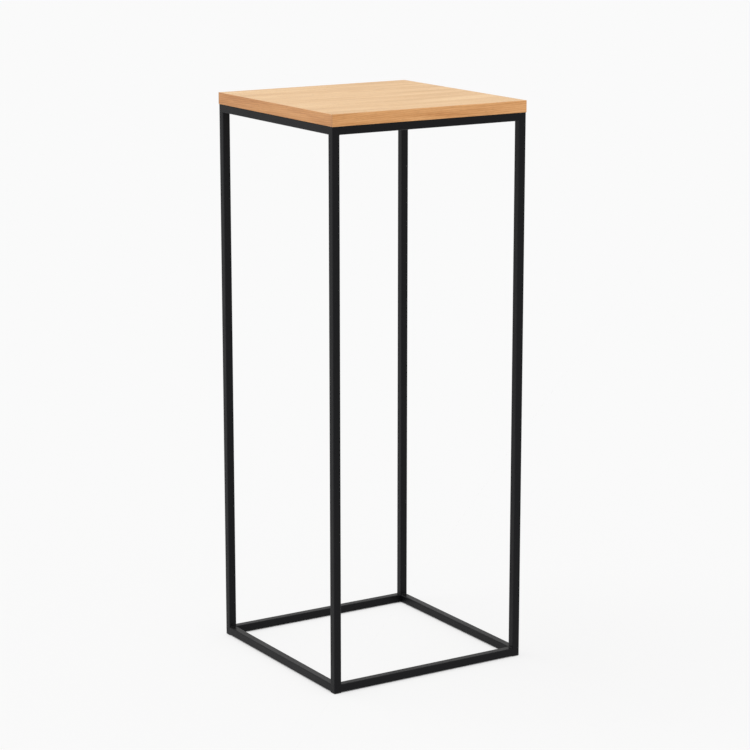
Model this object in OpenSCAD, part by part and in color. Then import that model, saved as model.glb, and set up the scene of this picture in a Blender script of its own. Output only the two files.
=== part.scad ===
// Display plinth: a welded square-tube frame that carries a veneered display board.
// The origin is on the floor at the centre of the plan, +Z is up.
// The front is the -Y side and the left is the -X side. All sizes are in millimetres.

/* [Overall] */
// Width of the board, left to right
overall_width = 350; // [250:5:500]
// Depth of the board, front to back
overall_depth = 350; // [250:5:500]
// Height from the floor to the display surface
overall_height = 900; // [500:10:1200]

/* [Frame tube] */
// Outside size of the square tube
tube_size = 12.7; // [12:0.1:25]
// Thickness of the tube's wall
tube_wall = 1.2; // [1:0.1:2]
// Outside corner radius of the tube
tube_radius = 1.5; // [1:0.1:3]
// Leg of the concave weld fillet inside each corner
weld_leg = 1.6; // [1:0.1:3]

/* [Board] */
// Thickness of the whole board, veneers included
board_thickness = 18.5; // [15:0.5:30]
// How far the board stands out past the frame on every side
board_overhang = 0.5; // [0:0.5:10]
// Thickness of the face veneer and of the backing veneer
veneer_thickness = 0.5; // [0.3:0.1:1]
// Thickness of the edge bands
band_thickness = 1; // [1:0.1:3]
// Radius that eases the board's outer edges
edge_radius = 0.5; // [0.2:0.1:0.8]

/* [Corner tabs] */
// Length of a tab along each rail
tab_leg = 30; // [25:1:50]
// Thickness of a tab
tab_thickness = 3; // [2.5:0.1:4]
// Width of the blunt tip at the end of each leg
tab_tip = 6; // [3:1:10]
// Cut across the tab's inside corner, which clears the welds
tab_clip = 4; // [3:1:8]
// Distance from both rails to the centre of the screw hole
tab_hole_inset = 11; // [9:0.5:14]

/* [Board screws] */
// Outside diameter of the screw's thread
screw_diameter = 4; // [3:0.5:5]
// Diameter of the thread's root
screw_root = 2.8; // [2:0.1:2.8]
// Length of the screw under its head
screw_length = 16; // [13:1:16]
// Length of the screw's plain point
point_length = 3; // [2:0.5:3]
// Distance from one thread crest to the next
thread_pitch = 1.8; // [1.2:0.1:2.5]
// Diameter of the pan head
head_diameter = 8; // [7:0.5:10]
// Height of the pan head
head_height = 2.8; // [2.4:0.1:3.5]
// Radius of the pan head's rounded edge
head_round = 1.6; // [1:0.1:2]
// Width of the cross recess across its arms
recess_span = 4.6; // [3.6:0.1:5]
// Width of one arm of the cross recess
recess_arm = 0.9; // [0.6:0.1:1.2]
// Depth of the cross recess
recess_depth = 1.7; // [1:0.1:2]

/* [Glides] */
// Height of the glide's head, which the frame stands on
glide_head = 1.2; // [1:0.1:4]
// Height of the stepped pad at the bottom of the head
glide_pad = 0.5; // [0.3:0.1:0.8]
// Step from the head's side to the pad's side
glide_step = 0.8; // [0.5:0.1:1.5]
// Length of the shank inside the tube
glide_shank = 14; // [10:1:25]
// Number of ribs on the shank
glide_ribs = 4; // [2:1:6]
// Thickness of each rib
glide_rib = 1; // [0.8:0.1:1.5]
// How far each rib stands out of the shank
glide_rib_depth = 1.1; // [0.6:0.1:1.5]

/* [Clearances] */
// Gap between the ribs' tips and the tube's inside faces
rib_clearance = 0.1; // [0.05:0.05:0.3]
// Gap around a screw in the hole of its tab
tab_hole_clearance = 0.5; // [0.3:0.1:1]
// Gap around a screw in its pilot hole
pilot_clearance = 0.05; // [0.05:0.05:0.2]
// Depth left free above a screw's point
pilot_end_clearance = 1; // [0.5:0.5:1]

/* [Hidden] */
$fn = 48;

// Colours
COATING = [0.07, 0.07, 0.08];
OAK_FACE = [0.92, 0.79, 0.63];
OAK_EDGE = [0.81, 0.60, 0.42];
CORE_BOARD = [0.72, 0.60, 0.45];
ZINC = [0.75, 0.76, 0.78];
BLACK_PLASTIC = [0.09, 0.09, 0.09];

// Sides: every corner and rail is placed by a sign along X and a sign along Y
LEFT = -1;
RIGHT = 1;
FRONT = -1;
BACK = 1;
CORNERS = [[LEFT, FRONT], [RIGHT, FRONT], [LEFT, BACK], [RIGHT, BACK]];

// A cutter reaches this far past the face that it opens
cut_past = 1;

// Frame levels and plan
frame_bottom = glide_head;
frame_top = overall_height - board_thickness;
frame_width = overall_width - 2 * board_overhang;
frame_depth = overall_depth - 2 * board_overhang;
tube_bore = tube_size - 2 * tube_wall;
least_bore_radius = 0.2;
bore_radius = max(tube_radius - tube_wall, least_bore_radius);

// Centre lines of the uprights and the rails
upright_x = frame_width / 2 - tube_size / 2;
upright_y = frame_depth / 2 - tube_size / 2;
top_rail_z = frame_top - tube_size / 2;
base_rail_z = frame_bottom + tube_size / 2;

// The clear rectangle inside the frame
inside_width = frame_width - 2 * tube_size;
inside_depth = frame_depth - 2 * tube_size;

// Board
core_width = overall_width - 2 * band_thickness;
core_depth = overall_depth - 2 * band_thickness;
core_bottom = frame_top + veneer_thickness;
core_top = overall_height - veneer_thickness;

// Screws: the head bears on the tab's underside
screw_x = inside_width / 2 - tab_hole_inset;
screw_y = inside_depth / 2 - tab_hole_inset;
screw_seat = frame_top - tab_thickness;
thread_count = floor((screw_length - tab_thickness - point_length) / thread_pitch);
pilot_radius = screw_diameter / 2 + pilot_clearance;
pilot_top = screw_seat + screw_length + pilot_end_clearance;

// Glides: the ribs are spread evenly up the shank
rib_size = tube_bore - 2 * rib_clearance;
shank_size = rib_size - 2 * glide_rib_depth;
rib_spacing = (glide_shank - glide_rib) / glide_ribs;

// ---- Shapes that repeat ----

// A centred rectangle with rounded corners
module rounded_rectangle(width, depth, radius) {
    square([width - 2 * radius, depth], center = true);
    square([width, depth - 2 * radius], center = true);
    for (x = [-1, 1], y = [-1, 1])
        translate([x * (width / 2 - radius), y * (depth / 2 - radius)])
            circle(radius);
}

// Outside of the square tube, end on
module tube_outline() {
    rounded_rectangle(tube_size, tube_size, tube_radius);
}

// Square tube, end on, with its bore
module tube_section() {
    difference() {
        tube_outline();
        rounded_rectangle(tube_bore, tube_bore, bore_radius);
    }
}

// Lifts a flat outline into a bar of the given length along +X or +Y
module along_x(length) {
    rotate([90, 0, 90])
        linear_extrude(length)
            children();
}

module along_y(length) {
    rotate([-90, 0, 0])
        linear_extrude(length)
            children();
}

// One upright, from the glide's head to the board's underside
module upright(side_x, side_y) {
    color(COATING)
        translate([side_x * upright_x, side_y * upright_y, frame_bottom])
            linear_extrude(frame_top - frame_bottom)
                tube_section();
}

// One rail between two uprights, along X at the front or back
module rail_along_x(side_y, level) {
    color(COATING)
        translate([-inside_width / 2, side_y * upright_y, level])
            along_x(inside_width)
                tube_section();
}

// One rail between two uprights, along Y at the left or right
module rail_along_y(side_x, level) {
    color(COATING)
        translate([side_x * upright_x, -inside_depth / 2, level])
            along_y(inside_depth)
                tube_section();
}

// Weld metal ground flush: each rail's outline is carried on to the upright's rounded corners
module flush_weld(side_x, side_y, level) {
    start_x = side_x > 0 ? inside_width / 2 : -inside_width / 2 - tube_radius;
    start_y = side_y > 0 ? inside_depth / 2 : -inside_depth / 2 - tube_radius;
    difference() {
        union() {
            translate([start_x, side_y * upright_y, level])
                along_x(tube_radius)
                    tube_outline();
            translate([side_x * upright_x, start_y, level])
                along_y(tube_radius)
                    tube_outline();
        }
        translate([side_x * upright_x, side_y * upright_y, level - tube_size / 2 - cut_past])
            linear_extrude(tube_size + 2 * cut_past)
                tube_outline();
    }
}

// Concave fillet, end on: its two legs lie along +X and along the given side of Y
module fillet_section(side) {
    difference() {
        translate([0, side < 0 ? -weld_leg : 0])
            square(weld_leg);
        translate([weld_leg, side * weld_leg])
            circle(weld_leg);
    }
}

// The two fillets in one corner, between the upright and the open face of each rail
module corner_fillets(side_x, side_y, level, open_side) {
    flat_width = tube_size - 2 * tube_radius;
    face = level + open_side * tube_size / 2;
    translate([side_x * inside_width / 2, side_y * upright_y, face])
        rotate([0, 0, side_x > 0 ? 180 : 0])
            translate([0, flat_width / 2, 0])
                rotate([90, 0, 0])
                    linear_extrude(flat_width)
                        fillet_section(open_side);
    translate([side_x * upright_x, side_y * inside_depth / 2, face])
        rotate([0, 0, side_y > 0 ? -90 : 90])
            translate([0, flat_width / 2, 0])
                rotate([90, 0, 0])
                    linear_extrude(flat_width)
                        fillet_section(open_side);
}

// All the weld metal round one level of the frame
module corner_welds(level, open_side) {
    color(COATING)
        for (corner = CORNERS) {
            flush_weld(corner[0], corner[1], level);
            corner_fillets(corner[0], corner[1], level, open_side);
        }
}

// One corner tab, flush with the top of the frame and welded to two rails
module corner_tab(side_x, side_y) {
    outline = [
        [tab_clip, 0], [tab_leg, 0], [tab_leg, tab_tip],
        [tab_tip, tab_leg], [0, tab_leg], [0, tab_clip]
    ];
    color(COATING)
        translate([side_x * inside_width / 2, side_y * inside_depth / 2, screw_seat])
            difference() {
                linear_extrude(tab_thickness)
                    polygon([for (point = outline) [-side_x * point[0], -side_y * point[1]]]);
                translate([-side_x * tab_hole_inset, -side_y * tab_hole_inset, -cut_past])
                    cylinder(h = tab_thickness + 2 * cut_past, r = screw_diameter / 2 + tab_hole_clearance);
            }
}

// Half outline of a screw, from the bottom of its head to its point, for turning round Z
function head_points() = [
    for (angle = [0:15:90])
        [head_diameter / 2 - head_round * (1 - sin(angle)), -head_height + head_round * (1 - cos(angle))]
];
function thread_points() = [
    for (turn = [0:thread_count - 1], step = [0, 0.5])
        [step == 0 ? screw_root / 2 : screw_diameter / 2, tab_thickness + (turn + step) * thread_pitch]
];

// One pan-head wood screw, point up, with its head's seat at z = 0
module wood_screw() {
    difference() {
        rotate_extrude()
            polygon(concat(
                [[0, -head_height]],
                head_points(),
                [[head_diameter / 2, 0], [screw_root / 2, 0]],
                thread_points(),
                [[screw_root / 2, screw_length - point_length], [0, screw_length]]
            ));
        for (turn = [0, 90])
            rotate([0, 0, turn])
                translate([-recess_span / 2, -recess_arm / 2, -head_height - cut_past])
                    cube([recess_span, recess_arm, recess_depth + cut_past]);
    }
}

// Room for the four screws in whatever lies above the tabs
module pilot_holes() {
    for (corner = CORNERS)
        translate([corner[0] * screw_x, corner[1] * screw_y, screw_seat])
            cylinder(h = pilot_top - screw_seat, r = pilot_radius);
}

// One insert glide: a stepped head under the tube and a ribbed shank inside it
module glide(side_x, side_y) {
    color(BLACK_PLASTIC)
        translate([side_x * upright_x, side_y * upright_y, 0]) {
            linear_extrude(glide_pad)
                rounded_rectangle(tube_size - 2 * glide_step, tube_size - 2 * glide_step, tube_radius);
            translate([0, 0, glide_pad])
                linear_extrude(glide_head - glide_pad)
                    tube_outline();
            translate([0, 0, glide_head])
                linear_extrude(glide_shank)
                    rounded_rectangle(shank_size, shank_size, bore_radius);
            for (rib = [1:glide_ribs])
                translate([0, 0, glide_head + rib * rib_spacing])
                    linear_extrude(glide_rib)
                        rounded_rectangle(rib_size, rib_size, bore_radius);
        }
}

// The board as one block, with its four corners and its left and right edges eased
module eased_block() {
    intersection() {
        translate([0, 0, frame_top])
            linear_extrude(board_thickness)
                rounded_rectangle(overall_width, overall_depth, edge_radius);
        translate([0, -overall_depth / 2, frame_top + board_thickness / 2])
            along_y(overall_depth)
                rounded_rectangle(overall_width, board_thickness, edge_radius);
    }
}

// A flat layer of the board between the edge bands
module board_layer(bottom, top) {
    translate([-core_width / 2, -core_depth / 2, bottom])
        cube([core_width, core_depth, top - bottom]);
}

// Edge band, end on: the inside face is on x = 0 and both outside corners are eased
module band_section() {
    translate([0, -board_thickness / 2])
        square([band_thickness - edge_radius, board_thickness]);
    translate([0, edge_radius - board_thickness / 2])
        square([band_thickness, board_thickness - 2 * edge_radius]);
    for (side = [-1, 1])
        translate([band_thickness - edge_radius, side * (board_thickness / 2 - edge_radius)])
            circle(edge_radius);
}

// The front or back band, which laps the ends of the side bands
module long_band(side_y) {
    color(OAK_EDGE)
        intersection() {
            translate([0, side_y * core_depth / 2, frame_top + board_thickness / 2])
                rotate([0, 0, side_y * 90])
                    translate([0, overall_width / 2, 0])
                        rotate([90, 0, 0])
                            linear_extrude(overall_width)
                                band_section();
            eased_block();
        }
}

// The left or right band, between the front and back bands
module short_band(side_x) {
    color(OAK_EDGE)
        translate([side_x * core_width / 2, 0, frame_top + board_thickness / 2])
            rotate([0, 0, side_x < 0 ? 180 : 0])
                translate([0, core_depth / 2, 0])
                    rotate([90, 0, 0])
                        linear_extrude(core_depth)
                            band_section();
}

// ---- Sub-parts ----

// Uprights
module front_left_upright() {
    upright(LEFT, FRONT);
}

module front_right_upright() {
    upright(RIGHT, FRONT);
}

module back_left_upright() {
    upright(LEFT, BACK);
}

module back_right_upright() {
    upright(RIGHT, BACK);
}

// Top rails, under the board
module front_top_rail() {
    rail_along_x(FRONT, top_rail_z);
}

module back_top_rail() {
    rail_along_x(BACK, top_rail_z);
}

module left_top_rail() {
    rail_along_y(LEFT, top_rail_z);
}

module right_top_rail() {
    rail_along_y(RIGHT, top_rail_z);
}

// Base rails, level with the lower ends of the uprights
module front_base_rail() {
    rail_along_x(FRONT, base_rail_z);
}

module back_base_rail() {
    rail_along_x(BACK, base_rail_z);
}

module left_base_rail() {
    rail_along_y(LEFT, base_rail_z);
}

module right_base_rail() {
    rail_along_y(RIGHT, base_rail_z);
}

// Welds: the fillets are under the top rails and on top of the base rails
module top_corner_welds() {
    corner_welds(top_rail_z, -1);
}

module base_corner_welds() {
    corner_welds(base_rail_z, 1);
}

// Tabs that hold the board down
module front_left_tab() {
    corner_tab(LEFT, FRONT);
}

module front_right_tab() {
    corner_tab(RIGHT, FRONT);
}

module back_left_tab() {
    corner_tab(LEFT, BACK);
}

module back_right_tab() {
    corner_tab(RIGHT, BACK);
}

// Four screws, one up through each tab into the board
module board_screws() {
    color(ZINC)
        for (corner = CORNERS)
            translate([corner[0] * screw_x, corner[1] * screw_y, screw_seat])
                wood_screw();
}

// Glides
module front_left_glide() {
    glide(LEFT, FRONT);
}

module front_right_glide() {
    glide(RIGHT, FRONT);
}

module back_left_glide() {
    glide(LEFT, BACK);
}

module back_right_glide() {
    glide(RIGHT, BACK);
}

// Board: a core between two veneers
module board_core() {
    color(CORE_BOARD)
        difference() {
            board_layer(core_bottom, core_top);
            pilot_holes();
        }
}

module top_veneer() {
    color(OAK_FACE)
        board_layer(core_top, overall_height);
}

module backing_veneer() {
    color(OAK_FACE)
        difference() {
            board_layer(frame_top, core_bottom);
            pilot_holes();
        }
}

// Edge bands
module front_edge_band() {
    long_band(FRONT);
}

module back_edge_band() {
    long_band(BACK);
}

module left_edge_band() {
    short_band(LEFT);
}

module right_edge_band() {
    short_band(RIGHT);
}

front_left_upright();
front_right_upright();
back_left_upright();
back_right_upright();
front_top_rail();
back_top_rail();
left_top_rail();
right_top_rail();
front_base_rail();
back_base_rail();
left_base_rail();
right_base_rail();
top_corner_welds();
base_corner_welds();
front_left_tab();
front_right_tab();
back_left_tab();
back_right_tab();
board_screws();
front_left_glide();
front_right_glide();
back_left_glide();
back_right_glide();
board_core();
top_veneer();
backing_veneer();
front_edge_band();
back_edge_band();
left_edge_band();
right_edge_band();
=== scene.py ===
import math

import bmesh
import bpy
import numpy as np
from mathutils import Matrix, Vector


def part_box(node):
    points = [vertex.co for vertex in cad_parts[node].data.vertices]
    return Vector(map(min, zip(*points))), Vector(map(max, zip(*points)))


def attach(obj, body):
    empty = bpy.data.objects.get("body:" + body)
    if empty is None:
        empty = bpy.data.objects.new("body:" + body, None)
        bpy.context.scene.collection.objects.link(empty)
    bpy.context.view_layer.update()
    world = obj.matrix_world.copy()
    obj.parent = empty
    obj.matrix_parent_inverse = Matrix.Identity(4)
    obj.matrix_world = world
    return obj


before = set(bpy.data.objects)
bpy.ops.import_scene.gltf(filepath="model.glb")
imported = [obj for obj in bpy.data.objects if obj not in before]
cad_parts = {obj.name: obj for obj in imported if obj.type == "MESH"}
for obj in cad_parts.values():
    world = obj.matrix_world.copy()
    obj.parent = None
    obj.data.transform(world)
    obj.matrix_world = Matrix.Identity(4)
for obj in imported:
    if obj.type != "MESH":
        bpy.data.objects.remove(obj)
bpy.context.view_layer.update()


# ---- Camera ----
# A short telephoto a little above the display surface, turned to the front left corner and
# tipped down so that the base shows from above.

camera_lens = 120.9             # mm on a 36 mm wide sensor
camera_heading = 58.03          # degrees from +X towards +Y
camera_dip = 12.73              # degrees below level
camera_place = (-2.0785, -3.3435, 1.3425)

camera = bpy.data.objects.new("camera", bpy.data.cameras.new("camera"))
camera.data.lens = camera_lens
camera.data.sensor_width = 36.0
camera.data.clip_start = 0.1
camera.data.clip_end = 200.0
camera.location = camera_place
camera.rotation_euler = (math.radians(90 - camera_dip), 0.0, math.radians(camera_heading - 90))
bpy.context.scene.collection.objects.link(camera)
bpy.context.scene.camera = camera


# ---- Floor and light ----
# A seamless white paper floor that runs out of sight, an even white sky and one broad soft
# light high up, a little to the left and behind, as under a studio ceiling of diffusers.

def linear(colour):
    """A '#rrggbb' sRGB colour as linear red, green, blue and an alpha of 1."""
    share = np.array([int(colour[i:i + 2], 16) for i in (1, 3, 5)]) / 255
    light = np.where(share <= 0.04045, share / 12.92, ((share + 0.055) / 1.055) ** 2.4)
    return (*(float(x) for x in light), 1.0)


def add_node(tree, kind, settings, inputs):
    """Adds one node. A setting is an attribute of the node. An input is a value, or another
    node's output, which is then linked; its key is the socket's name or number. A colour Mix
    has its factor in socket 0, its two colours in 6 and 7 and its result in output 2."""
    node = tree.nodes.new(kind)
    for name, value in settings.items():
        setattr(node, name, value)
    for key, value in inputs.items():
        if isinstance(value, bpy.types.NodeSocket):
            tree.links.new(value, node.inputs[key])
        else:
            node.inputs[key].default_value = value
    return node


floor_half = 60.0               # m, far past everything that the camera sees
paper_colour = "#747474"        # the share of the light that shows contact shadows
paper_glow_colour = "#ffffff"
paper_glow = 0.755              # the paper glows, which washes shadows out
painted_shadow_reach = 0.015           # painted contact shadow: the glow is dimmed where a base rail lies this near above the paper
dark_openness = 0.05            # the share of open sky within reach at which the glow is out, the painted shadow at its darkest
full_openness = 0.45            # and the share at which it is whole
openness_samples = 4
sky_colour = "#ffffff"
sky_strength = 0.94
sun_strength = 0.75
sun_softness = 38.0             # degrees across
sun_from = (-0.34, 0.30, 0.89)

floor_corners = [(-floor_half, -floor_half, 0), (floor_half, -floor_half, 0),
                 (floor_half, floor_half, 0), (-floor_half, floor_half, 0)]
floor_mesh = bpy.data.meshes.new("floor")
floor_mesh.from_pydata(floor_corners, [], [(0, 1, 2, 3)])
floor = bpy.data.objects.new("floor", floor_mesh)
bpy.context.scene.collection.objects.link(floor)
floor_paper = bpy.data.materials.new("glowing_paper_painted_shadow")
floor_paper.use_nodes = True
paper_tree = floor_paper.node_tree
paper_tree.nodes.clear()
paper_face = add_node(paper_tree, "ShaderNodeBsdfDiffuse", {}, {"Color": linear(paper_colour)})
open_above = add_node(paper_tree, "ShaderNodeAmbientOcclusion", {"samples": openness_samples}, {
    "Distance": painted_shadow_reach})
# The glow is dimmed under and just beside the base rails: a painted contact shadow.
glow_less_painted_shadow = add_node(paper_tree, "ShaderNodeMapRange", {"interpolation_type": "SMOOTHSTEP"}, {
    "Value": open_above.outputs["AO"], "From Min": dark_openness, "From Max": full_openness,
    "To Max": paper_glow})
paper_light = add_node(paper_tree, "ShaderNodeEmission", {}, {
    "Color": linear(paper_glow_colour), "Strength": glow_less_painted_shadow.outputs[0]})
paper = add_node(paper_tree, "ShaderNodeAddShader", {}, {
    0: paper_face.outputs[0], 1: paper_light.outputs[0]})
add_node(paper_tree, "ShaderNodeOutputMaterial", {}, {"Surface": paper.outputs[0]})
floor_mesh.materials.append(floor_paper)

sky = bpy.data.worlds.new("sky")
sky.use_nodes = True
sky.node_tree.nodes["Background"].inputs["Color"].default_value = linear(sky_colour)
sky.node_tree.nodes["Background"].inputs["Strength"].default_value = sky_strength
bpy.context.scene.world = sky

sun = bpy.data.objects.new("soft_light", bpy.data.lights.new("soft_light", "SUN"))
sun.data.energy = sun_strength
sun.data.angle = math.radians(sun_softness)
sun_x, sun_y, sun_z = np.array(sun_from) / np.linalg.norm(sun_from)
sun.rotation_euler = (math.acos(sun_z), 0.0, math.atan2(sun_y, sun_x) + math.pi / 2)
bpy.context.scene.collection.objects.link(sun)
bpy.context.scene.view_settings.view_transform = "Standard"


# ---- Frame: uprights, rails and corner welds ----
# Half-inch square steel tube, cut square, welded and ground flush, then coated in one go with
# black polyester powder. The coat is matt with a fine sand texture and thins at the arrises;
# the arrises are painted paler, partly for that wear and partly as a painted highlight.

def new_material(name):
    """A material with one Principled shader: returns the material, its tree and the shader."""
    material = bpy.data.materials.new(name)
    material.use_nodes = True
    material.node_tree.nodes.clear()
    shader = add_node(material.node_tree, "ShaderNodeBsdfPrincipled", {}, {})
    add_node(material.node_tree, "ShaderNodeOutputMaterial", {}, {"Surface": shader.outputs[0]})
    return material, material.node_tree, shader


def paint_node(name, material):
    """Puts a material in every slot of a CAD node."""
    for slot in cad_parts[name].material_slots:
        slot.material = material


def rounded_arris(tree, facing, flat_from, round_from, share):
    """A flat face that follows the axes has one component of its normal near 1, and a rounded
    arris has none. Returns 0 where the largest is over flat_from, rising to share where it is
    under round_from, and the sizes of the three components."""
    size = add_node(tree, "ShaderNodeVectorMath", {"operation": "ABSOLUTE"}, {0: facing})
    parts = add_node(tree, "ShaderNodeSeparateXYZ", {}, {0: size.outputs[0]}).outputs
    sideways = add_node(tree, "ShaderNodeMath", {"operation": "MAXIMUM"}, {0: parts[0], 1: parts[1]})
    largest = add_node(tree, "ShaderNodeMath", {"operation": "MAXIMUM"}, {
        0: sideways.outputs[0], 1: parts[2]})
    mask = add_node(tree, "ShaderNodeMapRange", {"interpolation_type": "SMOOTHSTEP"}, {
        "Value": largest.outputs[0], "From Min": flat_from, "From Max": round_from, "To Max": share})
    return mask.outputs[0], parts


def finish_surface(tree, shader, colour, rough, height, depth, strength):
    """Gives the shader a colour, a roughness, and a relief from a height whose whole range is
    depth metres, felt at the given strength."""
    bump = add_node(tree, "ShaderNodeBump", {}, {
        "Height": height, "Distance": depth, "Strength": strength})
    tree.links.new(colour, shader.inputs["Base Color"])
    tree.links.new(rough, shader.inputs["Roughness"])
    tree.links.new(bump.outputs[0], shader.inputs["Normal"])


noise_low, noise_high = 0.3, 0.7    # nearly all of a noise lies between these


def powder_coat():
    """Black polyester powder coat over steel. The eye gets a deep matt black whose fine sand
    grain breaks up the light, grain tips rubbed a little greyer, a paler line at each arris that
    is partly the thinner coat there and partly a painted highlight, and a trace of dust on
    whatever faces up."""
    coat_black = "#0d0d0f"
    # pale grey at the arrises: partly the thinner coat, partly a painted highlight
    edge_grey_wear_and_highlight = "#29292c"
    dust_grey = "#8d8a84"
    grain_size = 0.0006         # m; the real sand is half as coarse and would not show
    peel_size = 0.0030          # one swell of the orange peel
    patch_size = 0.060          # handling and cure variation
    relief_depth = 0.00006
    peel_share = 0.6            # of the relief, against the grain's 1
    tip_low, tip_high = 0.50, 0.75      # only the grain's upper part is rubbed
    tip_wear = 0.45
    dust_share = 0.04
    slope_from, slope_to = 0.6, 0.98    # of the normal's rise, where dust starts and fully lies
    rough_low, rough_high = 0.34, 0.44
    coat_ior = 1.5
    coat_shine = 0.11           # the sand texture scatters most of the mirror light
    material, tree, shader = new_material("black_powder_coated_steel")
    place = add_node(tree, "ShaderNodeTexCoord", {}, {}).outputs["Object"]
    grain = add_node(tree, "ShaderNodeTexNoise", {}, {
        "Vector": place, "Scale": 1 / grain_size, "Detail": 2.0, "Roughness": 0.55}).outputs[0]
    peel = add_node(tree, "ShaderNodeTexNoise", {}, {
        "Vector": place, "Scale": 1 / peel_size, "Detail": 1.0}).outputs[0]
    patch = add_node(tree, "ShaderNodeTexNoise", {}, {
        "Vector": place, "Scale": 1 / patch_size, "Detail": 4.0, "Roughness": 0.6}).outputs[0]

    # The arrises are painted paler, partly for the thinner coat there and partly as a painted highlight;
    # the tips of the grain are rubbed
    facing = add_node(tree, "ShaderNodeNewGeometry", {}, {}).outputs["Normal"]
    arris, parts = rounded_arris(tree, facing, flat_from=0.97, round_from=0.80, share=1.0)
    edge_paling_wear_and_highlight = add_node(tree, "ShaderNodeMath", {"operation": "MULTIPLY"}, {0: arris, 1: patch})
    tips = add_node(tree, "ShaderNodeMapRange", {}, {
        "Value": grain, "From Min": tip_low, "From Max": tip_high, "To Max": tip_wear})
    worn = add_node(tree, "ShaderNodeMath", {"operation": "MAXIMUM"}, {
        0: edge_paling_wear_and_highlight.outputs[0], 1: tips.outputs[0]})
    coat_with_worn_and_highlit_edges = add_node(tree, "ShaderNodeMix", {"data_type": "RGBA"}, {
        0: worn.outputs[0], 6: linear(coat_black), 7: linear(edge_grey_wear_and_highlight)})

    # Dust lies where the surface faces up
    up = add_node(tree, "ShaderNodeSeparateXYZ", {}, {0: facing}).outputs[2]
    lying = add_node(tree, "ShaderNodeMapRange", {"interpolation_type": "SMOOTHSTEP"}, {
        "Value": up, "From Min": slope_from, "From Max": slope_to, "To Max": dust_share})
    dust = add_node(tree, "ShaderNodeMath", {"operation": "MULTIPLY"}, {0: lying.outputs[0], 1: patch})
    colour = add_node(tree, "ShaderNodeMix", {"data_type": "RGBA"}, {
        0: dust.outputs[0], 6: coat_with_worn_and_highlit_edges.outputs[2], 7: linear(dust_grey)})
    rough = add_node(tree, "ShaderNodeMapRange", {}, {
        "Value": patch, "From Min": noise_low, "From Max": noise_high,
        "To Min": rough_low, "To Max": rough_high})
    relief = add_node(tree, "ShaderNodeMath", {"operation": "MULTIPLY_ADD"}, {
        0: peel, 1: peel_share, 2: grain})
    finish_surface(tree, shader, colour.outputs[2], rough.outputs[0], relief.outputs[0], relief_depth, 1.0)
    shader.inputs["IOR"].default_value = coat_ior
    shader.inputs["Specular IOR Level"].default_value = coat_shine
    return material


corners = [("front_left", -1, -1), ("front_right", 1, -1), ("back_left", -1, 1), ("back_right", 1, 1)]
sides = ["front", "back", "left", "right"]
coated_steel = powder_coat()
for corner, side_x, side_y in corners:
    paint_node(corner + "_upright", coated_steel)
for side in sides:
    paint_node(side + "_top_rail", coated_steel)
    paint_node(side + "_base_rail", coated_steel)
paint_node("top_corner_welds", coated_steel)
paint_node("base_corner_welds", coated_steel)


# ---- Corner tabs and their weld beads ----
# Four steel plates inside the top frame take the board's screws. Each is joined to its two
# rails by a short bead from below, left as laid and coated over with the rest.

def weld_bead(start, along, inward, length, leg, ripple):
    """One bead in the corner between a rail's inside face and a tab's underside. Its section is
    a quarter round of radius leg, closed back to the corner line. The radius rises and falls
    once a ripple, later in the middle of the bead than at its toes, and falls to nothing at
    both ends as half an ellipse. Returns points and faces on a grid of steps by ring points."""
    steps, arc = 120, 14
    middle_lag = 0.45           # of a ripple
    ripple_depth = 0.10         # of the leg
    end_reach = 1.4             # legs
    u = np.linspace(0, 1, steps)[:, None]
    v = np.linspace(0, 1, arc)[None, :]
    turn = v * math.pi / 2
    lag = middle_lag * np.sin(2 * turn)
    wave = np.abs(np.sin(math.pi * (u * length / ripple - lag)))
    end = np.minimum(u, 1 - u) * length / (end_reach * leg)
    taper = np.sqrt(1 - (1 - np.clip(end, 0, 1)) ** 2)
    radius = leg * taper * (1 - ripple_depth + ripple_depth * wave)
    down = np.array([0.0, 0.0, -1.0])
    line = start + u[:, :, None] * length * along
    across = (radius * np.cos(turn))[:, :, None] * inward
    below = (radius * np.sin(turn))[:, :, None] * down
    points = np.concatenate([line + across + below, line], axis=1)
    ring = arc + 1
    i, j = np.meshgrid(np.arange(steps - 1), np.arange(ring), indexing="ij")
    next_j = (j + 1) % ring
    here, ahead = i * ring, (i + 1) * ring
    faces = np.stack([here + j, here + next_j, ahead + next_j, ahead + j], axis=-1)
    return points.reshape(-1, 3), faces.reshape(-1, 4)


def join_surfaces(name, surfaces):
    """One smooth object from several (points, faces) pairs. Points that coincide, as at the
    toes of a bead, become one, and every face is turned outwards."""
    merge_distance = 0.000002
    counts = [len(points) for points, faces in surfaces]
    starts = np.cumsum([0] + counts[:-1])
    all_points = np.concatenate([points for points, faces in surfaces])
    all_faces = np.concatenate([faces + start for start, (points, faces) in zip(starts, surfaces)])
    mesh = bpy.data.meshes.new(name)
    mesh.from_pydata(all_points.tolist(), [], all_faces.tolist())
    form = bmesh.new()
    form.from_mesh(mesh)
    bmesh.ops.remove_doubles(form, verts=form.verts, dist=merge_distance)
    bmesh.ops.recalc_face_normals(form, faces=form.faces)
    form.to_mesh(mesh)
    form.free()
    mesh.shade_smooth()
    obj = bpy.data.objects.new(name, mesh)
    bpy.context.scene.collection.objects.link(obj)
    return obj


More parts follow.
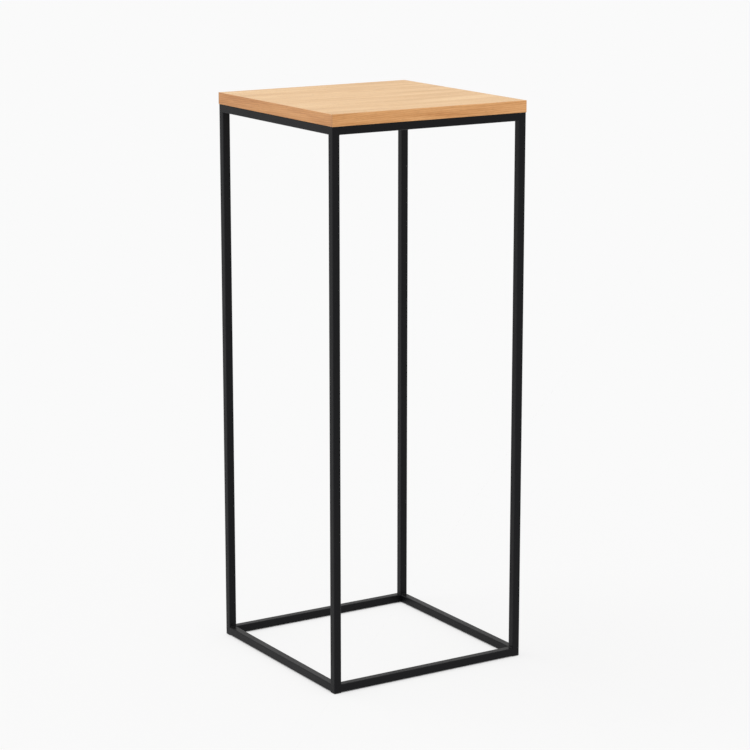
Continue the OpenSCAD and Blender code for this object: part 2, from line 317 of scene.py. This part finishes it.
bead_leg = 0.0026               # m
bead_length = 0.018
bead_ripple = 0.0011            # one pool of the weld every millimetre or so
bead_start = 0.008              # from the corner where the two rails meet
beads = []
for corner, side_x, side_y in corners:
    paint_node(corner + "_tab", coated_steel)
    low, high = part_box(corner + "_tab")
    rail_corner = np.array([high.x if side_x > 0 else low.x, high.y if side_y > 0 else low.y, low.z])
    into_x = np.array([-side_x, 0.0, 0.0])
    into_y = np.array([0.0, -side_y, 0.0])
    for along, inward in ((into_x, into_y), (into_y, into_x)):
        start = rail_corner + bead_start * along
        beads.append(weld_bead(start, along, inward, bead_length, bead_leg, bead_ripple))
tab_weld_beads = join_surfaces("tab_weld_beads", beads)
tab_weld_beads.data.materials.append(coated_steel)
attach(tab_weld_beads, "root")


# ---- Screws ----
# Pan-head steel screws with a cross recess, one up through each tab into the board, barrel
# plated with bright zinc after rolling.

def zinc_plate():
    """Bright zinc on rolled steel. The eye gets a soft pale mirror, clouded in patches, with a
    faint straw and blue bloom and the fine dents of barrel plating."""
    zinc_straw = "#d6d0c2"
    zinc_blue = "#c2c8d0"
    cloud_size = 0.0016         # m
    dent_size = 0.00025
    dent_depth = 0.00001
    dent_strength = 0.4
    rough_low, rough_high = 0.26, 0.40
    material, tree, shader = new_material("zinc_plated_steel")
    place = add_node(tree, "ShaderNodeTexCoord", {}, {}).outputs["Object"]
    cloud = add_node(tree, "ShaderNodeTexNoise", {}, {
        "Vector": place, "Scale": 1 / cloud_size, "Detail": 3.0}).outputs[0]
    dents = add_node(tree, "ShaderNodeTexNoise", {}, {
        "Vector": place, "Scale": 1 / dent_size, "Detail": 1.0}).outputs[0]
    tint = add_node(tree, "ShaderNodeMix", {"data_type": "RGBA"}, {
        0: cloud, 6: linear(zinc_blue), 7: linear(zinc_straw)})
    rough = add_node(tree, "ShaderNodeMapRange", {}, {
        "Value": cloud, "From Min": noise_low, "From Max": noise_high,
        "To Min": rough_low, "To Max": rough_high})
    finish_surface(tree, shader, tint.outputs[2], rough.outputs[0], dents, dent_depth, dent_strength)
    shader.inputs["Metallic"].default_value = 1.0
    return material


paint_node("board_screws", zinc_plate())


# ---- Glides ----
# Black polyethylene inserts, injection moulded with ribs round the shank and pushed into the
# open lower ends of the uprights. The plinth stands on their stepped pads.

def moulded_plastic():
    """Black moulded polyethylene. The eye gets a dull, slightly waxy black with the fine skin
    of the mould, rubbed to uneven grey where the pad slides on the floor."""
    plastic_black = "#1b1b1c"
    rubbed_grey = "#67655f"
    skin_size = 0.0006          # m, the mould's spark texture
    skin_depth = 0.00003
    skin_strength = 0.6
    scuff_size = 0.0014         # one rubbed spot
    spot_low, spot_high = 0.42, 0.66
    sole_height = 0.0002        # only the sole is rubbed
    sole_wear = 0.6
    rough_low, rough_high = 0.42, 0.58
    plastic_ior = 1.51
    material, tree, shader = new_material("black_moulded_polyethylene")
    place = add_node(tree, "ShaderNodeTexCoord", {}, {}).outputs["Object"]
    skin = add_node(tree, "ShaderNodeTexNoise", {}, {
        "Vector": place, "Scale": 1 / skin_size, "Detail": 2.0}).outputs[0]
    scuff = add_node(tree, "ShaderNodeTexNoise", {}, {
        "Vector": place, "Scale": 1 / scuff_size, "Detail": 5.0, "Roughness": 0.65}).outputs[0]
    spots = add_node(tree, "ShaderNodeMapRange", {"interpolation_type": "SMOOTHSTEP"}, {
        "Value": scuff, "From Min": spot_low, "From Max": spot_high})
    height = add_node(tree, "ShaderNodeSeparateXYZ", {}, {0: place}).outputs[2]
    sole = add_node(tree, "ShaderNodeMapRange", {}, {
        "Value": height, "From Min": sole_height, "From Max": 0.0, "To Max": sole_wear})
    worn = add_node(tree, "ShaderNodeMath", {"operation": "MULTIPLY"}, {
        0: sole.outputs[0], 1: spots.outputs[0]})
    colour = add_node(tree, "ShaderNodeMix", {"data_type": "RGBA"}, {
        0: worn.outputs[0], 6: linear(plastic_black), 7: linear(rubbed_grey)})
    rough = add_node(tree, "ShaderNodeMapRange", {}, {
        "Value": scuff, "From Min": noise_low, "From Max": noise_high,
        "To Min": rough_low, "To Max": rough_high})
    finish_surface(tree, shader, colour.outputs[2], rough.outputs[0], skin, skin_depth, skin_strength)
    shader.inputs["IOR"].default_value = plastic_ior
    return material


glide_plastic = moulded_plastic()
for corner, side_x, side_y in corners:
    paint_node(corner + "_glide", glide_plastic)


# ---- Board: veneers, edge bands and core ----
# A wood-based panel with a sliced light oak veneer on each face and solid bands glued round
# its edges and eased by hand, matt lacquered but for the underside. The face grain runs left
# to right and each band's grain along its edge. Raw chips show where a hole is drilled.

def sliced_oak(name, log, pith, grain_axis, tones, roughness):
    """Light oak, cut from a log whose pith is a line along the grain, then lacquered matt or
    left sanded. The eye gets a warm pale wood with soft streaks and short dark dashes.

    A point's ring number is its distance from the pith line over the ring width, and the
    part after the whole number runs from pale early wood to darker late wood. The pith leans
    to the face, so the rings run out in long arches. Bands, fibres and hairs are noise drawn
    out along the grain. Open pores are short dark dashes, most of them in the early wood. An
    arris is painted paler, partly as rubbed wear and partly as a painted highlight, and across
    the grain the wood is darker. log numbers the tree."""
    pore_colour = "#93683c"
    end_colour = "#6a4124"
    # paler tone at the arrises: partly rubbed wear, partly a painted highlight
    edge_tone_wear_and_highlight = "#edc799"
    ring_width = 0.0024         # m
    ring_share = 0.16           # of the tone, against the bands' 1
    lean = math.radians(2.5)
    streaks = {                 # width across the grain, length along it, detail
        "bands": (0.016, 0.26, 3.0), "fibres": (0.0022, 0.09, 3.0),
        "hairs": (0.0005, 0.018, 2.0), "pores": (0.00035, 0.007, 1.0)}
    fibre_share, hair_share = 0.45, 0.45
    tone_low, tone_high = 0.78, 1.32
    early_from, early_to = 1.0, 0.35    # of a ring, from its late border back into early wood
    pore_low, pore_high = 0.54, 0.66
    pore_strength = 0.55
    late_pores = 0.25           # of the early wood's
    pore_rows_from = 0.5        # of a ring, from where pores thicken towards its start
    wander_size = 1 / 6.0       # m, a hand's length, in which the rings sway once
    wander = 0.006
    fray = 0.0012               # of one ring's border
    # how far the arrises are painted paler, as rubbed wear and as a painted highlight
    edge_share_wear_and_highlight = 0.35
    end_from, end_to = 0.75, 0.95       # of the normal along the grain, on an end
    end_share = 0.8             # of the end grain's darker tone
    rough_spread = 0.05
    relief_depth = 0.00005
    relief_strength = 0.6
    pore_depth = -1.5           # against the hairs' 1
    oak_ior = 1.5
    oak_shine = 0.3             # under matt lacquer
    material, tree, shader = new_material(name)
    place = add_node(tree, "ShaderNodeTexCoord", {}, {}).outputs["Object"]

    sway = add_node(tree, "ShaderNodeTexNoise", {"noise_dimensions": "4D"}, {
        "Vector": place, "W": log, "Scale": 1 / wander_size, "Detail": 1.0})
    centred = add_node(tree, "ShaderNodeVectorMath", {"operation": "SUBTRACT"}, {
        0: sway.outputs["Color"], 1: (0.5, 0.5, 0.5)})
    swayed = add_node(tree, "ShaderNodeVectorMath", {"operation": "MULTIPLY_ADD"}, {
        0: centred.outputs[0], 1: (wander, wander, wander), 2: place}).outputs[0]
    drawn = {}
    for streak, (width, length, detail) in streaks.items():
        scale = [1 / width] * 3
        scale[grain_axis] = 1 / length
        stretched = add_node(tree, "ShaderNodeMapping", {}, {"Vector": swayed, "Scale": scale})
        drawn[streak] = add_node(tree, "ShaderNodeTexNoise", {"noise_dimensions": "4D"}, {
            "Vector": stretched.outputs[0], "W": log, "Scale": 1.0, "Detail": detail,
            "Roughness": 0.55}).outputs[0]

    across = [1.0, 1.0, 1.0]
    across[grain_axis] = 0.0
    turn = [0.0, lean, 0.0] if grain_axis == 0 else [lean, 0.0, 0.0]
    leaning = add_node(tree, "ShaderNodeMapping", {}, {
        "Vector": swayed, "Location": [-x for x in pith], "Rotation": turn})
    section = add_node(tree, "ShaderNodeVectorMath", {"operation": "MULTIPLY"}, {
        0: leaning.outputs[0], 1: across})
    radius = add_node(tree, "ShaderNodeVectorMath", {"operation": "LENGTH"}, {0: section.outputs[0]})
    frayed = add_node(tree, "ShaderNodeMath", {"operation": "MULTIPLY_ADD"}, {
        0: drawn["fibres"], 1: fray, 2: radius.outputs["Value"]})
    number = add_node(tree, "ShaderNodeMath", {"operation": "DIVIDE"}, {
        0: frayed.outputs[0], 1: ring_width})
    ring = add_node(tree, "ShaderNodeMath", {"operation": "FRACT"}, {0: number.outputs[0]}).outputs[0]
    early_wood = add_node(tree, "ShaderNodeMapRange", {"interpolation_type": "SMOOTHSTEP"}, {
        "Value": ring, "From Min": early_from, "From Max": early_to})
    pore_rows = add_node(tree, "ShaderNodeMapRange", {"interpolation_type": "SMOOTHSTEP"}, {
        "Value": ring, "From Min": pore_rows_from, "From Max": 0.0, "To Min": late_pores})

    total = drawn["bands"]
    for layer, share in ((drawn["fibres"], fibre_share), (drawn["hairs"], hair_share),
                         (early_wood.outputs[0], ring_share)):
        total = add_node(tree, "ShaderNodeMath", {"operation": "MULTIPLY_ADD"}, {
            0: layer, 1: share, 2: total}).outputs[0]
    tone = add_node(tree, "ShaderNodeMapRange", {}, {
        "Value": total, "From Min": tone_low, "From Max": tone_high})
    ramp = add_node(tree, "ShaderNodeValToRGB", {}, {0: tone.outputs[0]})
    ramp.color_ramp.elements[0].color = linear(tones[0])
    ramp.color_ramp.elements[1].color = linear(tones[-1])
    for k in range(1, len(tones) - 1):
        ramp.color_ramp.elements.new(k / (len(tones) - 1)).color = linear(tones[k])
    dashes = add_node(tree, "ShaderNodeMapRange", {"interpolation_type": "SMOOTHSTEP"}, {
        "Value": drawn["pores"], "From Min": pore_low, "From Max": pore_high})
    open_pore = add_node(tree, "ShaderNodeMath", {"operation": "MULTIPLY"}, {
        0: dashes.outputs[0], 1: pore_rows.outputs[0]}).outputs[0]
    pore_tint = add_node(tree, "ShaderNodeMath", {"operation": "MULTIPLY"}, {
        0: open_pore, 1: pore_strength})
    pored = add_node(tree, "ShaderNodeMix", {"data_type": "RGBA"}, {
        0: pore_tint.outputs[0], 6: ramp.outputs[0], 7: linear(pore_colour)})

    facing = add_node(tree, "ShaderNodeNewGeometry", {}, {}).outputs["Normal"]
    arris, parts = rounded_arris(tree, facing, flat_from=0.98, round_from=0.85, share=edge_share_wear_and_highlight)
    # The arrises are painted paler: partly rubbed wear, partly a painted highlight
    rubbed = add_node(tree, "ShaderNodeMix", {"data_type": "RGBA"}, {
        0: arris, 6: pored.outputs[2], 7: linear(edge_tone_wear_and_highlight)})
    end_grain = add_node(tree, "ShaderNodeMapRange", {}, {
        "Value": parts[grain_axis], "From Min": end_from, "From Max": end_to, "To Max": end_share})
    colour = add_node(tree, "ShaderNodeMix", {"data_type": "RGBA"}, {
        0: end_grain.outputs[0], 6: rubbed.outputs[2], 7: linear(end_colour)})
    rough = add_node(tree, "ShaderNodeMapRange", {}, {
        "Value": drawn["fibres"], "From Min": noise_low, "From Max": noise_high,
        "To Min": roughness - rough_spread, "To Max": roughness + rough_spread})
    relief = add_node(tree, "ShaderNodeMath", {"operation": "MULTIPLY_ADD"}, {
        0: open_pore, 1: pore_depth, 2: drawn["hairs"]})
    finish_surface(tree, shader, colour.outputs[2], rough.outputs[0], relief.outputs[0],
                   relief_depth, relief_strength)
    shader.inputs["IOR"].default_value = oak_ior
    shader.inputs["Specular IOR Level"].default_value = oak_shine
    return material


def chip_panel():
    """Pressed wood particles in resin. The eye gets pale and brown chips, each of one tone and
    one height, on a dull broken face."""
    chip_brown = "#a9875c"
    chip_pale = "#d2b283"
    chip_size = 0.0022          # m
    chip_depth = 0.0001
    chip_strength = 0.5
    rough_low, rough_high = 0.72, 0.88
    material, tree, shader = new_material("pressed_wood_core")
    place = add_node(tree, "ShaderNodeTexCoord", {}, {}).outputs["Object"]
    chips = add_node(tree, "ShaderNodeTexVoronoi", {}, {"Vector": place, "Scale": 1 / chip_size})
    tone = add_node(tree, "ShaderNodeSeparateXYZ", {}, {0: chips.outputs["Color"]}).outputs
    colour = add_node(tree, "ShaderNodeMix", {"data_type": "RGBA"}, {
        0: tone[0], 6: linear(chip_brown), 7: linear(chip_pale)})
    rough = add_node(tree, "ShaderNodeMapRange", {}, {
        "Value": tone[2], "To Min": rough_low, "To Max": rough_high})
    finish_surface(tree, shader, colour.outputs[2], rough.outputs[0], tone[1], chip_depth, chip_strength)
    return material


lacquer_roughness = 0.45
sanded_roughness = 0.60
face_tones = ["#c99c66", "#d9ad76", "#e3ba86", "#ebc796"]
long_tones = ["#b87a44", "#d0945a", "#e0a66d", "#edb780"]
# The short bands' tones are darker than the long bands' as painted shade on the left and right edges, so
# the left edge, which the soft light from the left reaches, reads like the front edge.
short_band_tones_painted_shade = ["#a86e3e", "#bf8552", "#cf9660", "#dca56f"]
paint_node("top_veneer", sliced_oak(
    "lacquered_oak_face_veneer", 1.0, (0.0, 0.07, 0.83), 0, face_tones, lacquer_roughness))
paint_node("backing_veneer", sliced_oak(
    "sanded_oak_backing_veneer", 2.0, (0.0, -0.11, 0.80), 0, face_tones, sanded_roughness))
long_oak = sliced_oak(
    "lacquered_oak_long_band", 3.0, (0.0, -0.23, 0.81), 0, long_tones, lacquer_roughness)
short_oak = sliced_oak(
    "lacquered_oak_short_band", 4.0, (-0.24, 0.0, 0.80), 1, short_band_tones_painted_shade, lacquer_roughness)
for side, wood in (("front", long_oak), ("back", long_oak), ("left", short_oak), ("right", short_oak)):
    paint_node(side + "_edge_band", wood)
paint_node("board_core", chip_panel())
